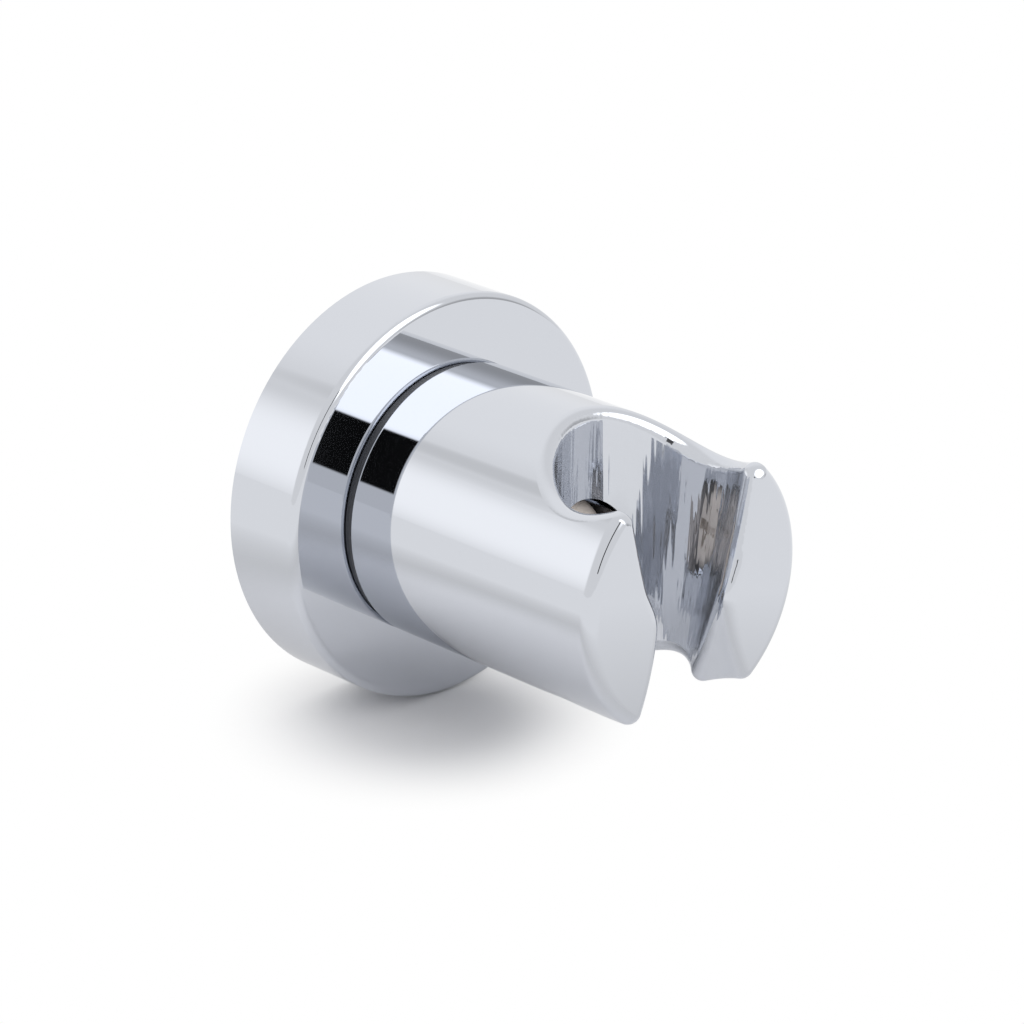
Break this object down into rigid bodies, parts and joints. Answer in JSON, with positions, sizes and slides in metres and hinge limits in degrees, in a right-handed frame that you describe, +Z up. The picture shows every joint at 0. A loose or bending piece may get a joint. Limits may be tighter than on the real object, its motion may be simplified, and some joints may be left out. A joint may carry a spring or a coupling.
{
  "type": "hand shower holder",
  "caption": "Chrome wall holder for a hand shower: round wall flange and a swivelling barrel with an upright tapered cradle open to the front.",
  "frame": {"origin": "where the barrel's axis meets the wall", "axes": "+Y into the wall along the barrel's axis, +Z up, the holder stands out along -Y"},
  "size_m": [0.0564, 0.058, 0.0564],
  "materials": {
    "polished_chrome": "polished",
    "plate_metal": "as cast",
    "screw_steel": "plain",
    "insert_brass": "turned",
    "bush_plastic": "moulded",
    "dark_plastic": "moulded",
    "black_rubber": "moulded"
  },
  "bodies": {
    "wall_fixture": {"wall_flange": "polished_chrome", "wall_gasket": "black_rubber", "mounting_plate": "plate_metal", "threaded_insert": "insert_brass", "journal_o_ring": "black_rubber", "friction_ring": "dark_plastic", "flat_washer": "screw_steel", "spring_washer": "screw_steel", "clamp_screw": "screw_steel"},
    "holder": {"holder_body": "polished_chrome", "bearing_bush": "bush_plastic"}
  },
  "joints": [
    {"name": "holder_swivel", "type": "hinge", "parent": "wall_fixture", "child": "holder", "pos_m": [0, 0, 0], "axis": [0, -1, 0], "continuous": true}
  ]
}
